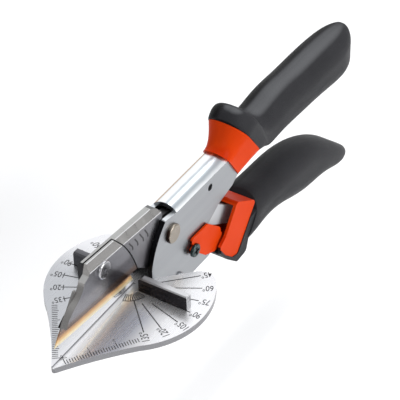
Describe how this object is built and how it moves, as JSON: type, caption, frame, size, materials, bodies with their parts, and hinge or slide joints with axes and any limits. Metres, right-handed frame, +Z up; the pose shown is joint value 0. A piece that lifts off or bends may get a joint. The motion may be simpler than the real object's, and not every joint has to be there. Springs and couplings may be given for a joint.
{
  "type": "mitre shears",
  "caption": "Hand shears with a clamped razor blade that swings down on a heart-shaped protractor plate with side fences, for cutting trim to an angle",
  "frame": {"origin": "Centre of the protractor on the top face of the leaf plate, on the blade's line, where the cut starts", "axes": "+X from the plate's tip to the handles along the blade's line, +Z up out of the plate, the screw heads are on the -Y side"},
  "size_m": [0.2, 0.0626, 0.0757],
  "materials": {
    "engraved_steel": "polished, engraved",
    "fence_steel": "blackened faces, worn top",
    "screw_steel": "satin",
    "dark_screw": "satin dark",
    "plated_steel": "bright nickel plate",
    "block_steel": "machined",
    "carrier_steel": "fine machined",
    "clamp_steel": "polished",
    "blade_steel": "ground and honed",
    "pivot_steel": "satin",
    "bush_brass": "turned",
    "spring_steel": "drawn wire",
    "orange_plastic": "satin orange",
    "grip_rubber": "fine grained"
  },
  "bodies": {
    "frame": {"anvil_leaf": "engraved_steel", "fence_near": "fence_steel", "fence_far": "fence_steel", "fence_screw_near_inner": "screw_steel", "fence_screw_near_outer": "screw_steel", "fence_screw_far_inner": "screw_steel", "fence_screw_far_outer": "screw_steel", "frame_channel": "plated_steel", "anvil_block": "block_steel", "block_screw_front": "screw_steel", "block_screw_rear": "screw_steel", "block_rivet_front": "plated_steel", "block_rivet_rear": "plated_steel", "pivot_bolt": "pivot_steel", "pivot_nut": "pivot_steel", "return_spring": "spring_steel", "upper_collar": "orange_plastic", "upper_grip": "grip_rubber", "latch_screw": "dark_screw", "latch_nut": "dark_screw"},
    "lever": {"lever_arm": "block_steel", "pivot_bush": "bush_brass", "blade_carrier": "carrier_steel", "carrier_rivet_front": "screw_steel", "carrier_rivet_rear": "screw_steel", "blade_clamp": "clamp_steel", "clamp_screw": "screw_steel", "blade": "blade_steel", "blade_pin_front": "screw_steel", "blade_pin_rear": "screw_steel", "lower_collar": "orange_plastic", "lower_grip": "grip_rubber"},
    "latch": {"latch": "orange_plastic"}
  },
  "joints": [
    {"name": "main_pivot", "type": "hinge", "parent": "frame", "child": "lever", "pos_m": [0.0212, 0, 0.0126], "axis": [0, 1, 0], "range_deg": [-6, 20], "stiffness_Nm_per_rad": 3, "deforming": ["return_spring"]},
    {"name": "latch_pivot", "type": "hinge", "parent": "frame", "child": "latch", "pos_m": [0.0333, 0, -0.0041], "axis": [0, 1, 0], "range_deg": [-15.5, 50.5]}
  ],
  "couplings": [
    {"joint": "latch_pivot", "follows": "main_pivot", "ratio": 2.5}
  ]
}
